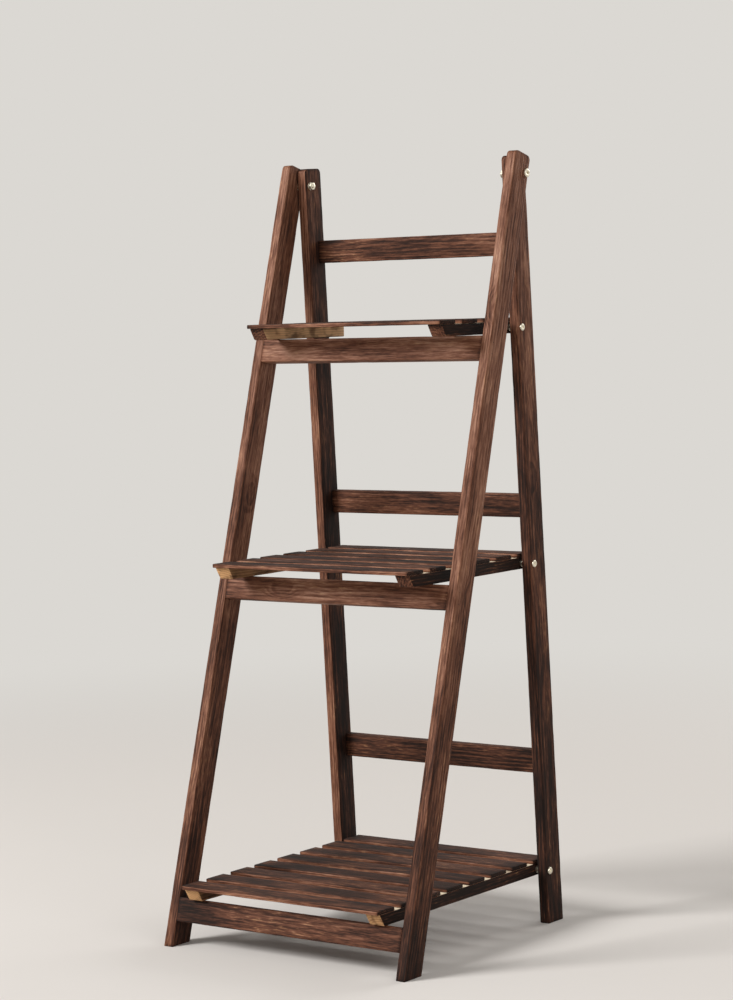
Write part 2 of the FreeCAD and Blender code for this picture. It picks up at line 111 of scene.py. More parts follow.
# %% Measure a board in its own directions
def stock_box(node, turn):
    """Lowest and highest corner of a measured piece once `turn` is taken out of it."""
    upright = turn.inverted()
    places = [upright @ vertex.co for vertex in frame["nodes"][node].data.vertices]
    low = Vector(min(place[axis] for place in places) for axis in range(3))
    high = Vector(max(place[axis] for place in places) for axis in range(3))
    return low, high


leg_low, leg_high = stock_box("front_leg_right", FRONT_FRAME)
print("front leg in mm", [round(value / MM, 1) for value in leg_high - leg_low])

# %% [markdown]
# ## The section of a board
#
# Sanding has taken the sharpness off every long edge. A bevel modifier could do that, but an outline
# that is drawn with its corners already rounded gives control over the wear: points of the corners
# are marked, so that only they are worn back later.

# %% Outline of a board's section
LEG_EASE = 1.5 * MM
ARC_STEPS = 3
FACE_STEP = 9 * MM
# The corners in order, each with the heading of the face that comes after it.
CORNERS = [((1, 1), (-1, 0)), ((-1, 1), (0, -1)), ((-1, -1), (1, 0)), ((1, -1), (0, 1))]


def board_section(half_wide, half_thick, ease):
    """Points (across, through, on a corner) around a rectangle with eased corners."""
    points = []
    for number, ((side, face), heading) in enumerate(CORNERS):
        across, through = side * (half_wide - ease), face * (half_thick - ease)
        for step in range(ARC_STEPS + 1):
            angle = math.radians(90 * (number + step / ARC_STEPS))
            points.append((across + ease * math.cos(angle), through + ease * math.sin(angle), True))
        start = points[-1]
        length = 2 * ((half_wide if heading[0] else half_thick) - ease)
        inner_points = max(1, round(length / FACE_STEP)) - 1
        for step in range(1, inner_points + 1):
            gone = length * step / (inner_points + 1)
            points.append((start[0] + heading[0] * gone, start[1] + heading[1] * gone, False))
    return points


leg_half = (leg_high - leg_low) / 2
print("points around a leg", len(board_section(leg_half.y, leg_half.x, LEG_EASE)))

# %% [markdown]
# ## Outlines along a board
#
# A board is a row of such outlines joined by four-sided faces, which is a loft. The places of the
# outlines along the board are its stations. Near the ends the outlines draw in a little, so the sawn
# ends are eased too, and between them evenly spaced stations leave room for wear.

# %% Stations along a board
STATION = 9 * MM
# Distances from the end of a board, each with how far the outline draws in there, across and through.
EASED_END = [(0.0, 0.7 * MM, 0.7 * MM), (0.25 * MM, 0.25 * MM, 0.25 * MM), (0.8 * MM, 0.0, 0.0)]


def stations_along(low, high, start_ease, end_ease):
    """Places along a board with how far the outline draws in (across, through) at each."""
    starts = [(low + into, across, through) for into, across, through in start_ease]
    ends = [(high - into, across, through) for into, across, through in reversed(end_ease)]
    first, last = starts[-1][0], ends[0][0]
    count = max(2, round((last - first) / STATION))
    between = [(first + (last - first) * step / count, 0.0, 0.0) for step in range(1, count)]
    return starts + between + ends


print("outlines along a leg", len(stations_along(leg_low.z, leg_high.z, EASED_END, EASED_END)))

# %% [markdown]
# ## Lofting a board
#
# The corners of the outlines are worn back a little more in one place than in the next, as soft
# random numbers say. A foot cut level with the floor or a bevelled end is made by letting each line
# of the loft start at its own place.
#
# Three sets of numbers are kept on the vertices for the wood's finish: where the vertex lies in the
# board, the board's half sizes, and a lottery number that gives each board its own piece of the log.

# %% Loft a board from end to end
WORN = 0.35 * MM
WEAR_WIDTH, WEAR_LENGTH = 25 * MM, 22 * MM
LOG_SPREAD = 40.0
BOARD_CREASE = math.radians(40)


def wear(lot, across, through, station):
    """How far the corner of a board is worn back at a station."""
    spot = Vector((across / WEAR_WIDTH, through / WEAR_WIDTH, station / WEAR_LENGTH))
    return WORN * max(0.0, noise.noise(spot + lot * LOG_SPREAD))


def loft_faces(around, rings):
    """Four-sided faces between the outlines, and one face over each end."""
    faces = []
    for ring in range(rings - 1):
        for step in range(around):
            here, there = ring * around + step, ring * around + (step + 1) % around
            faces.append((here, there, there + around, here + around))
    faces.append(tuple(reversed(range(around))))
    faces.append(tuple(range((rings - 1) * around, rings * around)))
    return faces


def add_values(mesh, name, values):
    """Keep a vector for each vertex of a mesh, for its material to read."""
    attribute = mesh.attributes.new(name, "FLOAT_VECTOR", "POINT")
    attribute.data.foreach_set("vector", [number for value in values for number in value])


def add_to_scene(name, data):
    """A new object that holds this mesh, lamp or camera."""
    piece = bpy.data.objects.new(name, data)
    bpy.context.scene.collection.objects.link(piece)
    return piece


def loft_board(name, node, turn, run, wide, ease, start_cut=None, end_ease=EASED_END):
    """A board over a measured node, with `run` the axis along it and `wide` its broad one."""
    low, high = stock_box(node, turn)
    middle, half = (low + high) / 2, (high - low) / 2
    thick = X + Y + Z - run - wide
    stations = stations_along(low[run], high[run], EASED_END, end_ease)
    section = board_section(half[wide], half[thick], ease)
    lottery = random.Random(node)
    lot = Vector((lottery.random(), lottery.random(), lottery.random()))

    places, inside = [], []
    for station, drawn_across, drawn_through in stations:
        for across, through, on_corner in section:
            worn = wear(lot, across, through, station) if on_corner else 0.0
            place = middle.copy()
            place[wide] += across * (1 - drawn_across / half[wide]) - math.copysign(worn, across)
            place[thick] += through * (1 - drawn_through / half[thick]) - math.copysign(worn, through)
            place[run] = station
            if start_cut:
                left = (high[run] - station) / (high[run] - low[run])
                place[run] = high[run] - left * (high[run] - start_cut(place))
            offset = place - middle
            inside.append((offset[wide], offset[thick], offset[run]))
            places.append(turn @ place)

    mesh = bpy.data.meshes.new(name)
    mesh.from_pydata(places, [], loft_faces(len(section), len(stations)))
    # The loft's faces look outwards for one order of the axes and inwards for the other.
    if (wide - run) % 3 != 1:
        mesh.flip_normals()
    add_values(mesh, "board", inside)
    add_values(mesh, "half", [(half[wide], half[thick], half[run])] * len(places))
    add_values(mesh, "lot", [tuple(lot)] * len(places))
    mesh.shade_smooth()
    mesh.set_sharp_from_angle(angle=BOARD_CREASE)
    return add_to_scene(name, mesh)


print("a corner is worn back by up to", WORN / MM, "mm")

# %% [markdown]
# ## Building up a finish from nodes
#
# A procedural material is a chain of small nodes. A few helpers keep the chain readable: one adds a
# node and joins what is given to its sockets, two do a sum with numbers or with vectors, and one fades
# a value in between two limits. A soft fade looks more like wear than a hard limit does.

# %% Add nodes, sums and fades
def add_node(tree, kind, inputs=None, **settings):
    """Add a node, set its own settings, and fill or join its inputs."""
    node = tree.nodes.new(kind)
    for setting, value in settings.items():
        setattr(node, setting, value)
    for socket, value in (inputs or {}).items():
        if isinstance(value, bpy.types.NodeSocket):
            tree.links.new(value, node.inputs[socket])
        else:
            node.inputs[socket].default_value = value
    return node


def sums(tree, operation, first, second=0.0, third=0.0):
    """The result of one step of arithmetic."""
    inputs = {0: first, 1: second, 2: third}
    return add_node(tree, "ShaderNodeMath", inputs, operation=operation).outputs[0]


def vector_sum(tree, operation, first, second=(0.0, 0.0, 0.0), output="Vector"):
    """The result of one step of arithmetic on vectors."""
    node = add_node(tree, "ShaderNodeVectorMath", {0: first, 1: second}, operation=operation)
    return node.outputs[output]


def fade(tree, value, low, high, start=0.0, end=1.0):
    """Map a value from low..high to start..end along a soft curve, and hold it beyond."""
    inputs = {"Value": value, "From Min": low, "From Max": high, "To Min": start, "To Max": end}
    node = add_node(tree, "ShaderNodeMapRange", inputs, interpolation_type="SMOOTHSTEP")
    return node.outputs["Result"]


print("helpers", [helper.__name__ for helper in (add_node, sums, vector_sum, fade)])

# %% [markdown]
# ## Colours
#
# A colour picker shows a colour as three numbers up to 255, while a shader reckons with the amount of
# light, so the numbers are turned into light first. Three more helpers run a value through a row of
# colours, mix one colour into another, and start a new material.

# %% Colours and new materials
# The sockets of a Mix node that take and give colours.
FIRST_COLOUR, SECOND_COLOUR, MIXED_COLOUR = 6, 7, 2


def paint(red, green, blue):
    """A colour as a shader wants it, from the 0 to 255 that a colour picker shows."""
    shares = [channel / 255 for channel in (red, green, blue)]
    linear = [s / 12.92 if s <= 0.04045 else ((s + 0.055) / 1.055) ** 2.4 for s in shares]
    return (*linear, 1.0)


def ramp(tree, value, stops):
    """A colour ramp through stops of (place, colour)."""
    node = add_node(tree, "ShaderNodeValToRGB", {"Fac": value})
    elements = node.color_ramp.elements
    while len(elements) < len(stops):
        elements.new(0.5)
    for element, (place, colour) in zip(elements, stops):
        element.position = place
        element.color = colour
    return node.outputs["Color"]


def mix(tree, share, first, second):
    """The first colour where share is 0, fading into the second where it is 1."""
    inputs = {"Factor": share, FIRST_COLOUR: first, SECOND_COLOUR: second}
    return add_node(tree, "ShaderNodeMix", inputs, data_type="RGBA").outputs[MIXED_COLOUR]


def blank_material(name):
    """A new node material with its shader, and the tree they live in."""
    material = bpy.data.materials.new(name)
    material.use_nodes = True
    tree = material.node_tree
    return material, tree, tree.nodes["Principled BSDF"]


print("mid brown", [round(channel, 3) for channel in paint(112, 78, 62)])

# %% [markdown]
# ## The log inside the board
#
# Grain is a solid thing: it runs on from one face of a board to the next. So the finish is drawn at
# the vertex's place in the board, in millimetres, and not on a flat unwrapped picture. Each board is
# moved to its own part of the log, or all of them would look alike.

# %% Places in the log
LOG_SHIFT = (3100.0, 1700.0, 5300.0)


def kept(tree, name, output="Vector"):
    """What a mesh keeps under a name: a vector, or its "Fac" where it is one number."""
    return add_node(tree, "ShaderNodeAttribute", attribute_name=name).outputs[output]


def log_position(tree):
    """Place in the board in millimetres, and the same moved to this board's part of the log."""
    place = vector_sum(tree, "MULTIPLY", kept(tree, "board"), (1 / MM, 1 / MM, 1 / MM))
    shift = vector_sum(tree, "MULTIPLY", kept(tree, "lot"), LOG_SHIFT)
    return place, vector_sum(tree, "ADD", place, shift)


def stretched_noise(tree, place, size, detail=2.0, roughness=0.5):
    """Noise whose patches are about `size` millimetres across, through and along the board."""
    scaled = vector_sum(tree, "MULTIPLY", place, tuple(1 / length for length in size))
    inputs = {"Vector": scaled, "Scale": 1.0, "Detail": detail, "Roughness": roughness}
    return add_node(tree, "ShaderNodeTexNoise", inputs)


print("boards are spread over", LOG_SHIFT, "mm of the log")

# %% [markdown]
# ## Yearly rings and knots
#
# The yearly rings are tubes around the heart of the log, and a board shows where its faces cut them.
# So a ring is a distance from a bent line beside the board, and the same rings then run round its
# edges and ends. Knots push the rings aside. They are the middles of large, loosely spaced cells.

# %% Yearly rings and knots
RING_PITCH = 3.6
# How long the bends of the log are, and how far they reach, across, through and along the board.
BEND_SIZE, BEND_REACH = (80, 80, 300), (20.0, 20.0, 0.0)
# Where the heart of the log lies beside a board, and how much this differs between boards.
HEART, HEART_SPREAD = (-35.0, 22.0, 0.0), (70.0, 40.0, 0.0)
KNOT_SPACING = (70.0, 70.0, 160.0)
KNOT_PUSH = 9.0


def knots(tree, logged):
    """1 in the heart of a knot, falling to 0 around it."""
    scaled = vector_sum(tree, "MULTIPLY", logged, tuple(1 / length for length in KNOT_SPACING))
    cells = add_node(tree, "ShaderNodeTexVoronoi", {"Vector": scaled, "Scale": 1.0, "Randomness": 1.0})
    return fade(tree, cells.outputs["Distance"], 0.04, 0.24, 1.0, 0.0)


def yearly_rings(tree, place, logged, knot):
    """Where in its year's growth each point of the wood lies, from 0 to 1."""
    bend = stretched_noise(tree, logged, BEND_SIZE, 2.0, 0.45).outputs["Color"]
    bend = vector_sum(tree, "SUBTRACT", bend, (0.5, 0.5, 0.5))
    bend = vector_sum(tree, "MULTIPLY", bend, BEND_REACH)
    heart = vector_sum(tree, "MULTIPLY", kept(tree, "lot"), HEART_SPREAD)
    heart = vector_sum(tree, "ADD", heart, HEART)
    flat = vector_sum(tree, "MULTIPLY", place, (1.0, 1.0, 0.0))
    away = vector_sum(tree, "ADD", vector_sum(tree, "ADD", flat, heart), bend)
    distance = vector_sum(tree, "LENGTH", away, output="Value")
    distance = sums(tree, "MULTIPLY_ADD", knot, KNOT_PUSH, distance)
    return sums(tree, "FRACT", sums(tree, "DIVIDE", distance, RING_PITCH))


print("one year's growth is", RING_PITCH, "mm")

# %% [markdown]
# ## The patterns of the grain
#
# Torching brings out more than the rings: hair-fine fibres, short flecks, long streaks, and wide
# patches where the flame stayed for longer or shorter. Each is a noise stretched along the board. The
# late wood, the hard part of a year's growth, comes from the rings. It builds up slowly and ends
# suddenly, as it does in a real log.

# %% The patterns of the grain
# Size of each pattern across, through and along the board in mm, then its detail and roughness.
PATTERNS = {
    "fibre": ((0.9, 0.9, 38), 3.0, 0.6),
    "fleck": ((1.8, 1.8, 14), 2.0, 0.6),
    "streak": ((2.6, 2.6, 60), 2.0, 0.55),
    "flame": ((34, 34, 110), 2.0, 0.5),
}


def late_wood(tree, growth):
    """1 in the hard, raised part of a year's growth and 0 in its soft early wood."""
    slow_start = fade(tree, growth, 0.25, 0.75)
    sudden_end = fade(tree, growth, 0.9, 1.0, 1.0, 0.0)
    return sums(tree, "MULTIPLY", slow_start, sudden_end)


def grain_patterns(tree):
    """Every pattern of the wood by its name, and the place in the log where they are drawn."""
    place, logged = log_position(tree)
    patterns = {"knot": knots(tree, logged)}
    patterns["late_wood"] = late_wood(tree, yearly_rings(tree, place, logged, patterns["knot"]))
    for name, (size, detail, roughness) in PATTERNS.items():
        patterns[name] = stretched_noise(tree, logged, size, detail, roughness).outputs["Fac"]
    return patterns, logged


print("patterns", tuple(PATTERNS))

# %% [markdown]
# ## How light the torched wood is
#
# The boards were run over with a flame and then brushed with wire. The soft early wood of each year
# chars and is brushed away, and the hard late wood stays up as paler, reddish ridges. So each pattern
# lifts or lowers one value, the tone, which is 0 for char and 1 for the palest ridge. Colours could
# be mixed one over the other instead, but a single value keeps the browns in their order.

# %% The tone of the torched wood
BASE_TONE = -0.10
LATE_WOOD_LIFT = 0.15
KNOT_LIFT = -0.22
# How much each pattern lifts the tone, and between which two of its own values.
PATTERN_LIFTS = {
    "fibre": (0.18, 0.30, 0.70),
    "fleck": (0.18, 0.35, 0.65),
    "streak": (0.28, 0.30, 0.70),
    "flame": (0.28, 0.30, 0.70),
}


def torched_tone(tree, patterns):
    """The tone before wear, with the tint of each board and the painted light of each face, which lightens
    or darkens it.
    """
    tone = sums(tree, "MULTIPLY_ADD", patterns["late_wood"], LATE_WOOD_LIFT, BASE_TONE)
    for name, (lift, low, high) in PATTERN_LIFTS.items():
        tone = sums(tree, "MULTIPLY_ADD", fade(tree, patterns[name], low, high), lift, tone)
    tone = sums(tree, "MULTIPLY_ADD", patterns["knot"], KNOT_LIFT, tone)
    # The second number added is painted light, kept for each face.
    for painted in ("tint", "painted_light"):
        tone = sums(tree, "ADD", tone, kept(tree, painted, "Fac"))
    return tone


palest = BASE_TONE + LATE_WOOD_LIFT + sum(lift for lift, low, high in PATTERN_LIFTS.values())
print("tone from", round(BASE_TONE + KNOT_LIFT, 2), "to", round(palest, 2))

# %% [markdown]
# ## Handled corners with a painted highlight, and sawn ends
#
# Hands rub the char off the long edges here and there, and end grain burns darker. The lighter long
# edges are also a painted highlight, where the eased edges catch the light. The room that is left to
# each face tells how near to an edge or an end a point is, because the board's half sizes are kept
# beside its places. A Bevel node could find the edges too, but it can't tell a long edge from an end.

# %% Handled corners with a painted highlight, and sawn ends
HANDLED_SIZE = (12, 12, 40)
HANDLED_AND_HIGHLIGHT_LIFT = 0.26
HANDLED_FROM, HANDLED_TO = 0.4 * MM, 1.7 * MM
SAWN_LIFT = -0.16
SAWN_FROM, SAWN_TO = 0.3 * MM, 5 * MM


def worn_and_highlit_tone(tree, logged, tone):
    """The tone with the corners lightened in places, by wear and as a painted highlight, and the ends
    darkened.
    """
    from_middle = vector_sum(tree, "ABSOLUTE", kept(tree, "board"))
    to_faces = vector_sum(tree, "SUBTRACT", kept(tree, "half"), from_middle)
    room = add_node(tree, "ShaderNodeSeparateXYZ", {"Vector": to_faces}).outputs
    to_edge = sums(tree, "ADD", room["X"], room["Y"])
    # The lift at the corners is partly wear and partly a painted highlight where the eased edges catch the
    # light.
    corner = fade(tree, to_edge, HANDLED_FROM, HANDLED_TO, HANDLED_AND_HIGHLIGHT_LIFT, 0.0)
    rubbed = stretched_noise(tree, logged, HANDLED_SIZE, 2.0, 0.6).outputs["Fac"]
    handled_and_highlight = sums(tree, "MULTIPLY", fade(tree, rubbed, 0.4, 0.68), corner)
    sawn = fade(tree, room["Z"], SAWN_FROM, SAWN_TO, SAWN_LIFT, 0.0)
    return sums(tree, "ADD", sums(tree, "ADD", tone, handled_and_highlight), sawn)


print("corners lighter over", round(HANDLED_TO / MM, 1), "mm, ends darker over", SAWN_TO / MM, "mm")

# %% [markdown]
# ## Where the wood is bare
#
# Where the flame missed a face, the wood keeps its pale yellow in patches, and where the brush went
# through the char, small pale flecks show. Both are shares between 0 and 1, and the larger one wins.
# Some faces are paler still, such as the tops of the runners between two slats. They are marked with
# a number above 1, which fades the bare wood on into the colour of freshly planed wood. That near-white
# is partly painted light, so these faces look bright in the narrow gaps and under the slats.

# %% Bare and brushed-through wood
BARE_WOOD = paint(206, 160, 112)
BARE_DARK = paint(148, 105, 68)
FRESH_WOOD_AND_LIGHT = paint(240, 224, 196)
LICKED_SIZE = (16, 16, 26)
MOST_BRUSHED = 0.30


def bare_share(tree, logged, patterns, tone):
    """How much of the bare wood shows, from 0 to 1."""
    licked = stretched_noise(tree, logged, LICKED_SIZE, 2.0, 0.55).outputs["Fac"]
    patches = fade(tree, licked, 0.34, 0.56, 0.35, 1.0)
    missed = sums(tree, "MULTIPLY", kept(tree, "bare", "Fac"), patches)
    brushed = fade(tree, patterns["fleck"], 0.58, 0.74, 0.0, MOST_BRUSHED)
    brushed = sums(tree, "MULTIPLY", brushed, fade(tree, patterns["flame"], 0.5, 0.6))
    brushed = sums(tree, "MULTIPLY", brushed, fade(tree, tone, 0.1, 0.4))
    return sums(tree, "MAXIMUM", missed, brushed)


def bare_colour(tree, patterns):
    """The colour of bare wood: darker in its early wood, and near-white on faces marked above 1, which is
    partly freshly planed wood and partly painted light.
    """
    pale_tone = sums(tree, "MULTIPLY_ADD", patterns["late_wood"], 0.45, patterns["fibre"])
    pale = ramp(tree, pale_tone, [(0.2, BARE_DARK), (0.8, BARE_WOOD)])
    # Above 1 the bare wood turns near-white: partly freshly planed wood, partly painted light.
    fresh_and_lit = fade(tree, kept(tree, "bare", "Fac"), 1.0, 1.5)
    return mix(tree, fresh_and_lit, pale, FRESH_WOOD_AND_LIGHT)


print("brushed-through flecks are at most", MOST_BRUSHED, "bare")

# %% [markdown]
# ## The torched wood
#
# The tone now picks a brown from char to worn ridge, and the bare wood is mixed in over it. The
# patterns also drive a bump, so light catches the ridges that look raised. Real ridges this fine
# would need millions of faces, and a bump gives the same sheen. Charred wood is left rougher than
# the worn ridges.

# %% The torched wood
CHAR = paint(24, 13, 8)
DARK = paint(56, 32, 22)
BROWN = paint(96, 58, 40)
RIDGE = paint(130, 88, 67)
WORN_RIDGE = paint(157, 117, 94)
BROWNS = [(0.0, CHAR), (0.25, DARK), (0.5, BROWN), (0.75, RIDGE), (1.0, WORN_RIDGE)]
CHAR_ROUGHNESS, RIDGE_ROUGHNESS = 0.78, 0.56
SHEEN = 0.18
RIDGE_RELIEF = 0.35 * MM


def ridge_relief(tree, patterns):
    """The normal of a brushed face, raised along its late wood, fibres and streaks."""
    relief = sums(tree, "MULTIPLY", patterns["fibre"], 0.5)
    relief = sums(tree, "MULTIPLY_ADD", patterns["late_wood"], 0.5, relief)
    relief = sums(tree, "MULTIPLY_ADD", patterns["streak"], 0.35, relief)
    inputs = {"Height": relief, "Strength": 0.6, "Distance": RIDGE_RELIEF}
    return add_node(tree, "ShaderNodeBump", inputs).outputs["Normal"]


def torched_wood():
    material, tree, shader = blank_material("torched_wood")
    patterns, logged = grain_patterns(tree)
    tone = worn_and_highlit_tone(tree, logged, torched_tone(tree, patterns))
    share = bare_share(tree, logged, patterns, tone)
    colour = mix(tree, share, ramp(tree, tone, BROWNS), bare_colour(tree, patterns))
    roughness = fade(tree, tone, 0.1, 0.9, CHAR_ROUGHNESS, RIDGE_ROUGHNESS)
    shader.inputs["Specular IOR Level"].default_value = SHEEN
    tree.links.new(colour, shader.inputs["Base Color"])
    tree.links.new(roughness, shader.inputs["Roughness"])
    tree.links.new(ridge_relief(tree, patterns), shader.inputs["Normal"])
    return material


torched = torched_wood()
print("torched wood has", len(torched.node_tree.nodes), "nodes")

# %% [markdown]
# ## Plated steel and the nails
#
# The bolts, washers and nuts are bright plated steel with a faint warm cast, scuffed by the key that
# tightened them. The nails are thin and went through the flame with the boards, so they are nearly as
# dark as the wood.

# %% The plated steel and the nail steel
PLATING = paint(226, 219, 200)
FIRE_SCALE = paint(58, 44, 37)
SCUFF_DEPTH = 0.1 * MM


def steel(name, colour, smooth, rough, patch):
    """Steel whose roughness changes from smooth to rough between scuffs of the size of a patch."""
    material, tree, shader = blank_material(name)
    where = add_node(tree, "ShaderNodeTexCoord").outputs["Object"]
    scuffs = add_node(tree, "ShaderNodeTexNoise", {"Vector": where, "Scale": 1 / patch, "Detail": 3.0})
    roughness = fade(tree, scuffs.outputs["Fac"], 0.3, 0.7, smooth, rough)
    tree.links.new(roughness, shader.inputs["Roughness"])
    inputs = {"Height": scuffs.outputs["Fac"], "Strength": 0.25, "Distance": SCUFF_DEPTH}
    bump = add_node(tree, "ShaderNodeBump", inputs)
    tree.links.new(bump.outputs["Normal"], shader.inputs["Normal"])
    shader.inputs["Base Color"].default_value = colour
    shader.inputs["Metallic"].default_value = 1.0
    return material


plated = steel("plated_steel", PLATING, 0.26, 0.44, 1.5 * MM)
nail_steel = steel("nail_steel", FIRE_SCALE, 0.45, 0.7, 0.8 * MM)
print("metals", plated.name, nail_steel.name)

# %% [markdown]
# ## Putting a board in place
#
# A finished board takes over from its measured node, rides on the part of the stand that it moves
# with, and says which finish it wears. Some boards are a little darker or lighter than the rest, the
# flame missed some faces, and some faces are lightened or darkened as painted light for the way they
# look towards the lamps, so all three are kept on the mesh for the wood's finish to read.

# %% Finish a board
TINT_SPREAD = 0.05
# A face looks along a direction where the cosine of the angle between them is above this.
FACING = 0.8


def keep_numbers(mesh, name, domain, values):
    """Keep one number for each vertex or face of a mesh."""
    mesh.attributes.new(name, "FLOAT", domain).data.foreach_set("value", values)


def by_heading(mesh, amounts):
    """An amount for each face, from pairs of a direction and the amount for faces that look that way."""
    values = []
    for face in mesh.polygons:
        fitting = [amount for heading, amount in amounts if face.normal.dot(heading) > FACING]
        values.append(fitting[0] if fitting else 0.0)
    return values


def finish_board(piece, node, body, tint=0.0, ends=(0.0, 0.0), painted_lights=(), missed_by_flame=()):
    """Give a board its finish and let it stand for its node.

    ends says how much lighter its start and its far end are than its middle. The last two pair directions
    with how much painted light lightens or darkens those faces, and with how much of the flame they
    missed."""
    mesh = piece.data
    mesh.materials.append(torched)
    own_tint = tint + random.Random(node + " tint").uniform(-TINT_SPREAD, TINT_SPREAD)
    along = [place.vector.z for place in mesh.attributes["board"].data]
    reach = max(along)
    tints = [own_tint + ends[place > 0] * abs(place) / reach for place in along]
    keep_numbers(mesh, "tint", "POINT", tints)
    # Painted light: each face is lightened or darkened by the way it looks, as lamps would do.
    keep_numbers(mesh, "painted_light", "FACE", by_heading(mesh, painted_lights))
    keep_numbers(mesh, "bare", "FACE", by_heading(mesh, missed_by_flame))
    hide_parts(node)
    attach(piece, body)
    return piece


print("boards differ in tone by up to", TINT_SPREAD)

# %% [markdown]
# ## The legs
#
# Each leg is square at its back and front, round at the two corners of its top, and cut level with the
# floor at its foot. The round top is made by drawing the loft's outline in along an arc. The foot's
# cut follows from the lean: a point that lies further forward in the leg starts higher or lower, so
# that it ends on the floor once the leg is leaned.

# %% Make the four legs
TOP_ROUND = 7 * MM
TOP_EASE = 0.6 * MM
ROUND_STEPS = 6
# Each leg's tint, how much lighter its foot and its top are, and how much lighter its inner, outer
# and front faces are made as painted light, for the way each looks towards the lamps.
LEG_TONES_AND_PAINTED_LIGHT = {
    "front_leg_left": (0.09, (-0.17, 0.04), (-0.06, 0.0, 0.0)),
    "front_leg_right": (0.14, (-0.42, 0.04), (-0.10, 0.0, 0.02)),
    "rear_leg_left": (-0.20, (0.0, 0.18), (-0.08, 0.0, 0.30)),
    "rear_leg_right": (-0.14, (-0.18, 0.22), (-0.08, 0.03, 0.0)),
}


def rounded_top():
    """How the outline draws in towards the top of a leg: an arc across it, a small ease through it."""
    places = []
    for step in range(ROUND_STEPS + 1):
        angle = math.radians(90) * step / ROUND_STEPS
        into = TOP_ROUND * (1 - math.cos(angle))
        across = TOP_ROUND * (1 - math.sin(angle))
        places.append((into, across, max(0.0, TOP_EASE - into)))
    return places


def level_foot(lean):
    """The start of a leg at a point, so that its foot is level once leaned."""
    return lambda place: -place.y * math.tan(lean)


def make_leg(node, side, body, turn, lean):
    leg = loft_board(f"{node}_board", node, turn, Z, Y, LEG_EASE, level_foot(lean), rounded_top())
    tint, ends, face_painted_light = LEG_TONES_AND_PAINTED_LIGHT[node]
    outward = Vector((SIDES[side], 0, 0))
    # The inner, outer and front faces are lightened or darkened as painted light.
    painted_lights = list(zip((-outward, outward, Vector((0, -1, 0))), face_painted_light))
    return finish_board(leg, node, body, tint, ends, painted_lights)


for side in SIDES:
    front_leg = make_leg(f"front_leg_{side}", side, "front_frame", FRONT_FRAME, -front_lean)
    rear_leg = make_leg(f"rear_leg_{side}", side, "rear_frame", REAR_FRAME, rear_lean)
    print(side, "legs have", [len(leg.data.vertices) for leg in (front_leg, rear_leg)], "vertices")

# %% [markdown]
# ## Rungs and rails
#
# Three boards join the legs of each frame. They are plain lengths with eased edges, nailed through
# the legs. A rung is part of the front frame and a rail of the rear one.

# %% Make the rungs and rails
CROSSPIECE_TINTS = {
    "top_rung": 0.16, "middle_rung": 0.16, "bottom_rung": -0.13,
    "top_rail": -0.01, "middle_rail": -0.09, "bottom_rail": -0.16,
}
CROSSPIECE_ENDS = {"bottom_rung": (-0.06, 0.16), "top_rail": (-0.12, 0.0)}

for kind, body, turn in (("rung", "front_frame", FRONT_FRAME), ("rail", "rear_frame", REAR_FRAME)):
    for tier in TIERS:
        node = f"{tier}_{kind}"
        crosspiece = loft_board(f"{node}_board", node, turn, X, Z, LEG_EASE)
        finish_board(crosspiece, node, body, CROSSPIECE_TINTS[node], CROSSPIECE_ENDS.get(node, (0, 0)))
        print(node, "is", round(crosspiece.dimensions.x / MM, 1), "mm long")

# %% [markdown]
# ## The shelves
#
# A shelf is two runners with slats nailed across them. The runners' front ends are bevelled under the
# first slat. The flame was run over the shelf after it was nailed together, so it never reached the
# inner sides of the runners, their bevelled ends, or the pale wood between two slats.

# %% Make the runners and slats
SLAT_EASE = 1.2 * MM
BEVEL = 10 * MM
FRONT_END, FRONT_FACE, TOP_FACE = Vector((0, -0.8, -0.6)), Vector((0, -1, 0)), Vector((0, 0, 1))
# How much of the flame the bevel of each runner and the inner sides of each shelf's runners missed.
# Above 1, as on the top shelf's inner sides, the wood turns near-white, which is partly painted light.
BEVEL_BARE = {
    "top_runner_left": 0.0, "top_runner_right": 0.0,
    "middle_runner_left": 0.95, "middle_runner_right": 0.0,
    "bottom_runner_left": 1.0, "bottom_runner_right": 0.85,
}
SIDE_BARE_AND_LIGHT = {"top": 1.1, "middle": 0.4, "bottom": 0.3}
# The runners' tops between the slats are near-white: partly bare wood, partly painted light that makes
# them bright in the narrow gaps.
BETWEEN_SLATS_BARE_AND_LIT = 1.5
# The outer sides of the runners are darkened as painted light, so they look unlit.
RUNNER_TINT, OUTER_PAINTED_SHADE = -0.06, -0.40
# The slats are darker partly for their own wood and partly as painted light on their tops; their front
# faces are lightened as painted light.
SLAT_TINT_AND_SHADE, SLAT_FRONT_PAINTED_LIGHT = -0.21, 0.31


def bevelled_start(low, high):
    """The start of a runner at a point: full length along its top, shorter towards its underside."""
    return lambda place: low.y + BEVEL * (high.z - place.z) / (high.z - low.z)


def make_runner(tier, side):
    node = f"{tier}_runner_{side}"
    cut = bevelled_start(*stock_box(node, LEVEL))
    runner = loft_board(f"{node}_board", node, LEVEL, Y, X, SLAT_EASE, cut)
    outward = Vector((SIDES[side], 0, 0))
    missed = [(FRONT_END, BEVEL_BARE[node]), (-outward, SIDE_BARE_AND_LIGHT[tier]), (TOP_FACE, BETWEEN_SLATS_BARE_AND_LIT)]
    # The outer side is darkened as painted light.
    painted_lights = [(outward, OUTER_PAINTED_SHADE)]
    return finish_board(runner, node, f"{tier}_shelf", RUNNER_TINT, painted_lights=painted_lights, missed_by_flame=missed)


def slats_of(tier):
    return sorted(node for node in frame["nodes"] if node.startswith(f"{tier}_slat_"))


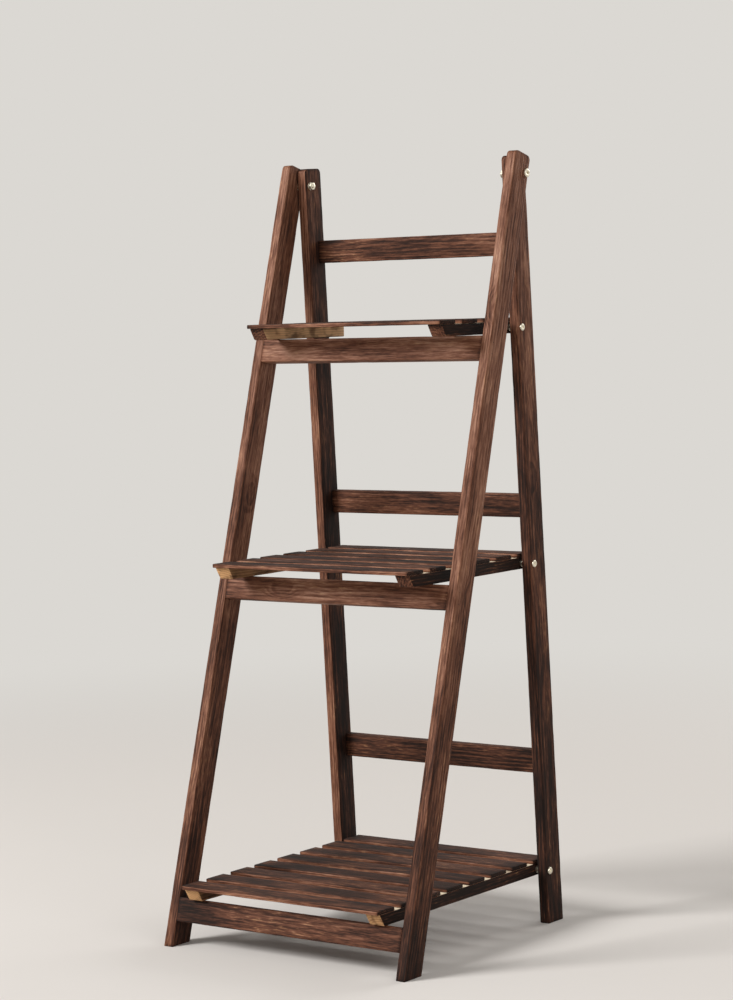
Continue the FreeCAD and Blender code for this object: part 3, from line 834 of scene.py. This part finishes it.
for tier in TIERS:
    for side in SIDES:
        make_runner(tier, side)
    for node in slats_of(tier):
        slat = loft_board(f"{node}_board", node, LEVEL, X, Y, SLAT_EASE)
        # A slat's tint is partly painted light on its top, and its front face is lightened as painted
        # light.
        finish_board(slat, node, f"{tier}_shelf", SLAT_TINT_AND_SHADE, painted_lights=[(FRONT_FACE, SLAT_FRONT_PAINTED_LIGHT)])
    print(tier, "shelf has", len(slats_of(tier)), "slats")

# %% [markdown]
# ## Bolts, spacers, washers, nuts and inserts
#
# Fasteners are turned on a lathe, so a row of rings along the bolt's axis makes them well. A ring may
# be round or six-sided: where a round rim meets the hexagon of a socket or of a nut, the mesh then
# changes from one to the other with no boolean. A nut's corners are cut back by a cone, and the end
# of each bolt shows a few turns of thread.

# %% Build a fastener from rings
SIDES_OF_RING = 48
METAL_CREASE = math.radians(32)


def round_ring(radius):
    return lambda angle: radius


def six_sided(across, limit=None):
    """A hexagon of a size across its flats, its corners no further out than `limit`."""
    def radius(angle):
        from_flat = (angle % math.radians(60)) - math.radians(30)
        corner = across / 2 / math.cos(from_flat)
        return min(corner, limit) if limit else corner
    return radius


def threaded(major, pitch, place):
    """The thread's radius around a bolt at a place along it: it rises and falls once in a turn."""
    def radius(angle):
        turn = (place / pitch - angle / math.tau) % 1
        return major - pitch * 0.5 * abs(2 * turn - 1)
    return radius


def ringed_pair(name, rows, axis, closed=False):
    """A pair of turned pieces, mirrored left and right, from rows of (distance outwards, ring)."""
    places, faces = [], []
    for sign in SIDES.values():
        first = len(places)
        for outwards, ring in rows:
            for step in range(SIDES_OF_RING):
                angle = math.tau * step / SIDES_OF_RING
                radius = ring(angle)
                along_y, along_z = radius * math.cos(angle), radius * math.sin(angle)
                places.append((sign * outwards, axis[0] + along_y, axis[1] + along_z))
        count = len(rows)
        spans = count if closed else count - 1
        for row in range(spans):
            for step in range(SIDES_OF_RING):
                following = (step + 1) % SIDES_OF_RING
                here, there = first + row * SIDES_OF_RING, first + (row + 1) % count * SIDES_OF_RING
                face = (here + step, there + step, there + following, here + following)
                faces.append(face[::-1] if sign > 0 else face)
        if not closed:
            start = tuple(range(first, first + SIDES_OF_RING))
            end = tuple(range(first + (count - 1) * SIDES_OF_RING, first + count * SIDES_OF_RING))
            faces += [start[::-1], end] if sign > 0 else [start, end[::-1]]
    mesh = bpy.data.meshes.new(name)
    mesh.from_pydata(places, [], faces)
    mesh.validate()
    mesh.shade_smooth()
    mesh.set_sharp_from_angle(angle=METAL_CREASE)
    return add_to_scene(name, mesh)


def finish_metal(piece, node, body, material):
    piece.data.materials.append(material)
    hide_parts(node)
    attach(piece, body)
    return piece


print("each ring has", SIDES_OF_RING, "points")

# %% [markdown]
# The measured nodes say where each fastener lies and how big it is. What they leave out is small: the
# thread, the eased edge of a socket or washer, the cone at the bottom of a socket and the chamfer of a
# nut. A shelf bolt has no nut: it is screwed into a threaded insert inside its runner.

# %% Shapes of the fasteners
# Diameter, pitch of the thread, size of the socket and height of the head.
BOLTS = {
    "hinge": (6 * MM, 1.0 * MM, 4 * MM, 3.4 * MM),
    "shelf": (5 * MM, 0.8 * MM, 3 * MM, 2.3 * MM),
}
RIM = 1.2 * MM
RIM_STEPS = 5
SOCKET_FLOOR = 1 * MM
SOCKET_CENTRE = 0.05 * MM
THREAD_TURNS = 4
THREAD_STEPS = 6
# How far the end of a bolt is turned down, as a share of the pitch of its thread.
END_DRAW = 0.8
METAL_EASE = 0.2 * MM
# The length of a nut's chamfer as a share of what its corners stand out, and its round face as a
# share of the size across its flats.
NUT_CHAMFER, NUT_FACE = 0.6, 0.96


def reach_of(node):
    """Nearest and furthest distance of a paired node from the middle of the stand."""
    distances = [abs(vertex.co.x) for vertex in frame["nodes"][node].data.vertices]
    return min(distances), max(distances)


def axis_of(node):
    """Where the axis of a paired node crosses the YZ plane, and its size along Y and Z."""
    low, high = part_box(node)
    return ((low.y + high.y) / 2, (low.z + high.z) / 2), (high.y - low.y, high.z - low.z)


def bolt_rows(inner, top, head, kind):
    """Rings of a bolt from its threaded end over its head and down into its socket."""
    diameter, pitch, socket, head_height = BOLTS[kind]
    shank, seat = diameter / 2, top - head_height
    rows = [(inner, round_ring(shank - END_DRAW * pitch))]
    for step in range(1, THREAD_TURNS * THREAD_STEPS + 1):
        place = inner + pitch * step / THREAD_STEPS
        rows.append((place, threaded(shank, pitch, place)))
    rows += [(rows[-1][0] + pitch, round_ring(shank)), (seat, round_ring(shank))]
    rows += [(seat, round_ring(head - METAL_EASE)), (seat + METAL_EASE, round_ring(head))]
    for step in range(RIM_STEPS + 1):
        angle = math.radians(90) * step / RIM_STEPS
        rows.append((top - RIM + RIM * math.sin(angle), round_ring(head - RIM + RIM * math.cos(angle))))
    mouth = socket / 2 / math.cos(math.radians(30))
    rows += [(top, round_ring(mouth + METAL_EASE)), (top - METAL_EASE, six_sided(socket))]
    floor = seat + SOCKET_FLOOR
    rows += [(floor + METAL_EASE, six_sided(socket)), (floor, round_ring(SOCKET_CENTRE))]
    return rows


def nut_rows(inner, outer, across, bore):
    """Rings of a nut, out over its six sides and back through its bore."""
    corner = across / 2 / math.cos(math.radians(30))
    chamfer = (corner - across / 2) * NUT_CHAMFER
    flat = across / 2 * NUT_FACE
    return [
        (inner, round_ring(flat)), (inner + chamfer, six_sided(across, corner)),
        (outer - chamfer, six_sided(across, corner)), (outer, round_ring(flat)),
        (outer, round_ring(bore)), (inner, round_ring(bore)),
    ]


def washer_rows(inner, outer, radius, bore):
    """Rings of a flat ring with its outer rim eased."""
    ease = min(METAL_EASE, (outer - inner) / 4)
    return [
        (inner, round_ring(radius - ease)), (inner + ease, round_ring(radius)),
        (outer - ease, round_ring(radius)), (outer, round_ring(radius - ease)),
        (outer, round_ring(bore)), (inner, round_ring(bore)),
    ]


hinge_rings = bolt_rows(*reach_of("hinge_bolts"), BOLTS["hinge"][0], "hinge")
print("a hinge bolt has", len(hinge_rings), "rings")

# %% [markdown]
# The hinge bolts are clamped in the rear legs, and the front legs turn on them. The shelf bolts sit
# fast in the runners and turn with their shelf in the rear legs.

# %% Make the fasteners
BORE_PLAY = 0.05 * MM


def make_fasteners(name, kind, parts, body):
    """The bolts of one place and what is on them, all on the axis of their measured nodes."""
    bore = BOLTS[kind][0] / 2 + BORE_PLAY
    for part in parts:
        node = f"{name}_{part}"
        axis, (along_y, along_z) = axis_of(node)
        inner, outer = reach_of(node)
        if part == "bolts":
            rows = bolt_rows(inner, outer, along_y / 2, kind)
        elif part == "nuts":
            rows = nut_rows(inner, outer, along_z, bore)
        else:
            rows = washer_rows(inner, outer, along_y / 2, bore)
        pair = ringed_pair(f"{node}_turned", rows, axis, closed=part != "bolts")
        finish_metal(pair, node, body, plated)
    print(name, "fasteners lie at", [round(value / MM, 1) for value in axis_of(f"{name}_bolts")[0]])


make_fasteners("hinge", "hinge", ("bolts", "spacers", "washers", "nuts"), "rear_frame")
for tier in TIERS:
    make_fasteners(f"{tier}_shelf", "shelf", ("bolts", "spacers", "inserts"), f"{tier}_shelf")

# %% [markdown]
# ## Nails
#
# Two thin nails hold each end of every rung, rail and slat. Their heads are hardly wider than the
# shank and lie almost level with the wood, so all that can be seen is a small dark dot. Each is a low
# dome on a short shank.

# %% The shape of a nail
NAIL = 1.6 * MM
PROUD = 0.12 * MM
NAIL_SIDES = 12


def add_nail(places, faces, head, inwards, length):
    """Add one nail with the middle of its head at `head` and its shank along `inwards`."""
    side = inwards.orthogonal().normalized()
    other = inwards.cross(side)
    first = len(places)
    # Depth and share of the nail's radius, from the point over the shank to the top of the dome.
    rows = [(length, 0.2), (length - NAIL, 1.0), (0.0, 1.0), (-0.5 * PROUD, 0.85), (-PROUD, 0.45)]
    for depth, share in rows:
        for step in range(NAIL_SIDES):
            angle = math.tau * step / NAIL_SIDES
            out = (side * math.cos(angle) + other * math.sin(angle)) * NAIL / 2 * share
            places.append(head + inwards * depth + out)
    for row in range(len(rows) - 1):
        for step in range(NAIL_SIDES):
            here, there = first + row * NAIL_SIDES, first + (row + 1) * NAIL_SIDES
            following = (step + 1) % NAIL_SIDES
            faces.append((here + step, there + step, there + following, here + following))
    faces.append(tuple(range(first, first + NAIL_SIDES)))
    last = first + (len(rows) - 1) * NAIL_SIDES
    faces.append(tuple(reversed(range(last, last + NAIL_SIDES))))


def make_nails(node, body, heads):
    """The nails of one group. heads pairs the place of each head with its nail's direction and length."""
    places, faces = [], []
    for head, inwards, length in heads:
        add_nail(places, faces, head, inwards, length)
    mesh = bpy.data.meshes.new(f"{node}_driven")
    mesh.from_pydata(places, [], faces)
    mesh.flip_normals()
    mesh.shade_smooth()
    nails = add_to_scene(f"{node}_driven", mesh)
    print(node, "has", len(heads), "nails")
    return finish_metal(nails, node, body, nail_steel)


print("a nail is", NAIL / MM, "mm thick")

# %% [markdown]
# The nails of a frame go in through the outer faces of the legs, in line with each rung or rail. The
# nails of a shelf go down through the slats near the inner faces of the runners. Each group's own
# measured node gives the length of its nails, and how far out from the middle they are.

# %% Drive the nails
FRAME_NAIL_SPREAD = 16 * MM
SLAT_NAIL_SPREAD = 14 * MM


def frame_nail_heads(kind, turn, outside, length):
    """The place, direction and length of each nail that holds the rungs, or the rails."""
    heads = []
    for tier in TIERS:
        low, high = stock_box(f"{tier}_{kind}", turn)
        middle = (low + high) / 2
        for sign in SIDES.values():
            for place in (-0.5, 0.5):
                spot = Vector((sign * outside, middle.y, middle.z + place * FRAME_NAIL_SPREAD))
                heads.append((turn @ spot, Vector((-sign, 0, 0)), length))
    return heads


def shelf_nail_heads(tier):
    """The place, direction and length of each nail that holds the slats of one shelf."""
    low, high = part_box(f"{tier}_shelf_nails")
    column = high.x - NAIL / 2
    heads = []
    for node in slats_of(tier):
        slat_low, slat_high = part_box(node)
        for sign in SIDES.values():
            for place in (-0.5, 0.5):
                along = (slat_low.y + slat_high.y) / 2 + place * SLAT_NAIL_SPREAD
                spot = Vector((sign * column, along, high.z))
                heads.append((spot, Vector((0, 0, -1)), high.z - low.z))
    return heads


for kind, body, turn in (("rung", "front_frame", FRONT_FRAME), ("rail", "rear_frame", REAR_FRAME)):
    node = f"{body}_nails"
    inner, outer = reach_of(node)
    make_nails(node, body, frame_nail_heads(kind, turn, outer, outer - inner))
for tier in TIERS:
    make_nails(f"{tier}_shelf_nails", f"{tier}_shelf", shelf_nail_heads(tier))

# %% [markdown]
# ## The floor and the background
#
# The stand is shown on a plain pale floor before a plain pale background. The floor keeps the stand's
# shadow near it, and further out it fades into the background's own colour, so that no horizon shows.
# The background is bright only for the camera and for reflections. The light it sheds is set apart
# from that, so the wood isn't washed out.

# %% Lay the floor and light the background
BACKDROP = paint(219, 216, 211)
FLOOR = paint(214, 209, 204)
FLOOR_SIZE = 60.0
FADE_FROM, FADE_TO = 1.1, 3.2
AMBIENT = 0.47


def seen_directly(tree):
    """1 for a ray from the camera, off a shiny surface or through glass, and 0 for soft light."""
    path = add_node(tree, "ShaderNodeLightPath").outputs
    seen = sums(tree, "MAXIMUM", path["Is Camera Ray"], path["Is Glossy Ray"])
    return sums(tree, "MAXIMUM", seen, path["Is Transmission Ray"])


def light_world():
    world = bpy.data.worlds.new("pale_room")
    bpy.context.scene.world = world
    world.use_nodes = True
    tree = world.node_tree
    background = tree.nodes["Background"]
    inputs = {"Value": seen_directly(tree), "To Min": AMBIENT, "To Max": 1.0}
    strength = add_node(tree, "ShaderNodeMapRange", inputs)
    background.inputs["Color"].default_value = BACKDROP
    tree.links.new(strength.outputs["Result"], background.inputs["Strength"])


def lay_floor():
    half = FLOOR_SIZE / 2
    mesh = bpy.data.meshes.new("pale_floor")
    corners = [(-half, -half, 0), (half, -half, 0), (half, half, 0), (-half, half, 0)]
    mesh.from_pydata(corners, [], [(0, 1, 2, 3)])
    floor = add_to_scene("pale_floor", mesh)
    material, tree, shader = blank_material("pale_floor")
    shader.inputs["Base Color"].default_value = FLOOR
    shader.inputs["Roughness"].default_value = 0.9
    shader.inputs["Specular IOR Level"].default_value = 0.1
    where = add_node(tree, "ShaderNodeTexCoord").outputs["Object"]
    far = vector_sum(tree, "LENGTH", where, output="Value")
    far = fade(tree, far, FADE_FROM, FADE_TO)
    glow = add_node(tree, "ShaderNodeEmission", {"Color": BACKDROP, "Strength": 1.0})
    faded = sums(tree, "MULTIPLY", far, seen_directly(tree))
    both = add_node(tree, "ShaderNodeMixShader", {0: faded, 1: shader.outputs[0], 2: glow.outputs[0]})
    tree.links.new(both.outputs[0], tree.nodes["Material Output"].inputs["Surface"])
    mesh.materials.append(material)


light_world()
lay_floor()
print("floor fades out from", FADE_FROM, "to", FADE_TO, "m")

# %% [markdown]
# ## Lamps
#
# The light comes mostly from the front left and from above, which brightens the fronts of the legs
# and rungs and the tops of the slats and leaves their right sides dark. A large lamp gives the soft
# edge that the shadow has. A weak one on the other side keeps the dark sides readable, and one behind
# does the same for the back.

# %% Set up the lamps
def add_lamp(name, place, aim, size, power):
    lamp = bpy.data.lights.new(name, "AREA")
    lamp.shape = "DISK"
    lamp.size = size
    lamp.energy = power
    holder = add_to_scene(name, lamp)
    holder.location = place
    beam = Vector(aim) - Vector(place)
    holder.rotation_euler = beam.to_track_quat("-Z", "Y").to_euler()
    print(name, "stands", round(beam.length, 2), "m away")


stand_middle = (measured_low + measured_high) / 2
add_lamp("window_light", (-3.1, -4.3, 3.7), stand_middle, 2.5, 423)
add_lamp("fill_light", (2.6, -1.2, 1.6), stand_middle, 2.2, 20)
add_lamp("back_light", (0.8, 3.8, 2.4), stand_middle, 2.6, 60)

# %% [markdown]
# ## The camera
#
# The photograph was taken from well back with a long lens, from the front and to the right of the
# stand, at the height of the top shelf. The camera looks nearly straight ahead, and the lens is
# shifted down to take in the feet, so the uprights hardly lean apart in the picture.

# %% Place the camera
FROM_HINGE = Vector((2.3009, -3.1859, -0.1706))
AZIMUTH = math.radians(36.539)
PITCH = math.radians(-1.224)
ROLL = math.radians(-1.7245)
FOCAL_LENGTH = 99.2
SENSOR_WIDTH = 36
SHIFT = (-0.0104, -0.14)


def place_camera():
    camera = bpy.data.cameras.new("camera")
    camera.lens = FOCAL_LENGTH
    camera.sensor_width = SENSOR_WIDTH
    camera.shift_x, camera.shift_y = SHIFT
    level_ahead = Vector((-math.sin(AZIMUTH), math.cos(AZIMUTH), 0))
    ahead = level_ahead * math.cos(PITCH) + Vector((0, 0, math.sin(PITCH)))
    level_right = Vector((math.cos(AZIMUTH), math.sin(AZIMUTH), 0))
    level_up = level_right.cross(ahead)
    right = level_right * math.cos(ROLL) + level_up * math.sin(ROLL)
    up = level_up * math.cos(ROLL) - level_right * math.sin(ROLL)
    holder = add_to_scene("camera", camera)
    turned = Matrix((right, up, -ahead)).transposed().to_4x4()
    holder.matrix_world = Matrix.Translation(hinge_line + FROM_HINGE) @ turned
    bpy.context.scene.camera = holder
    bpy.context.scene.view_settings.view_transform = "Standard"
    return holder


camera = place_camera()
print("camera at", [round(value, 3) for value in camera.location])
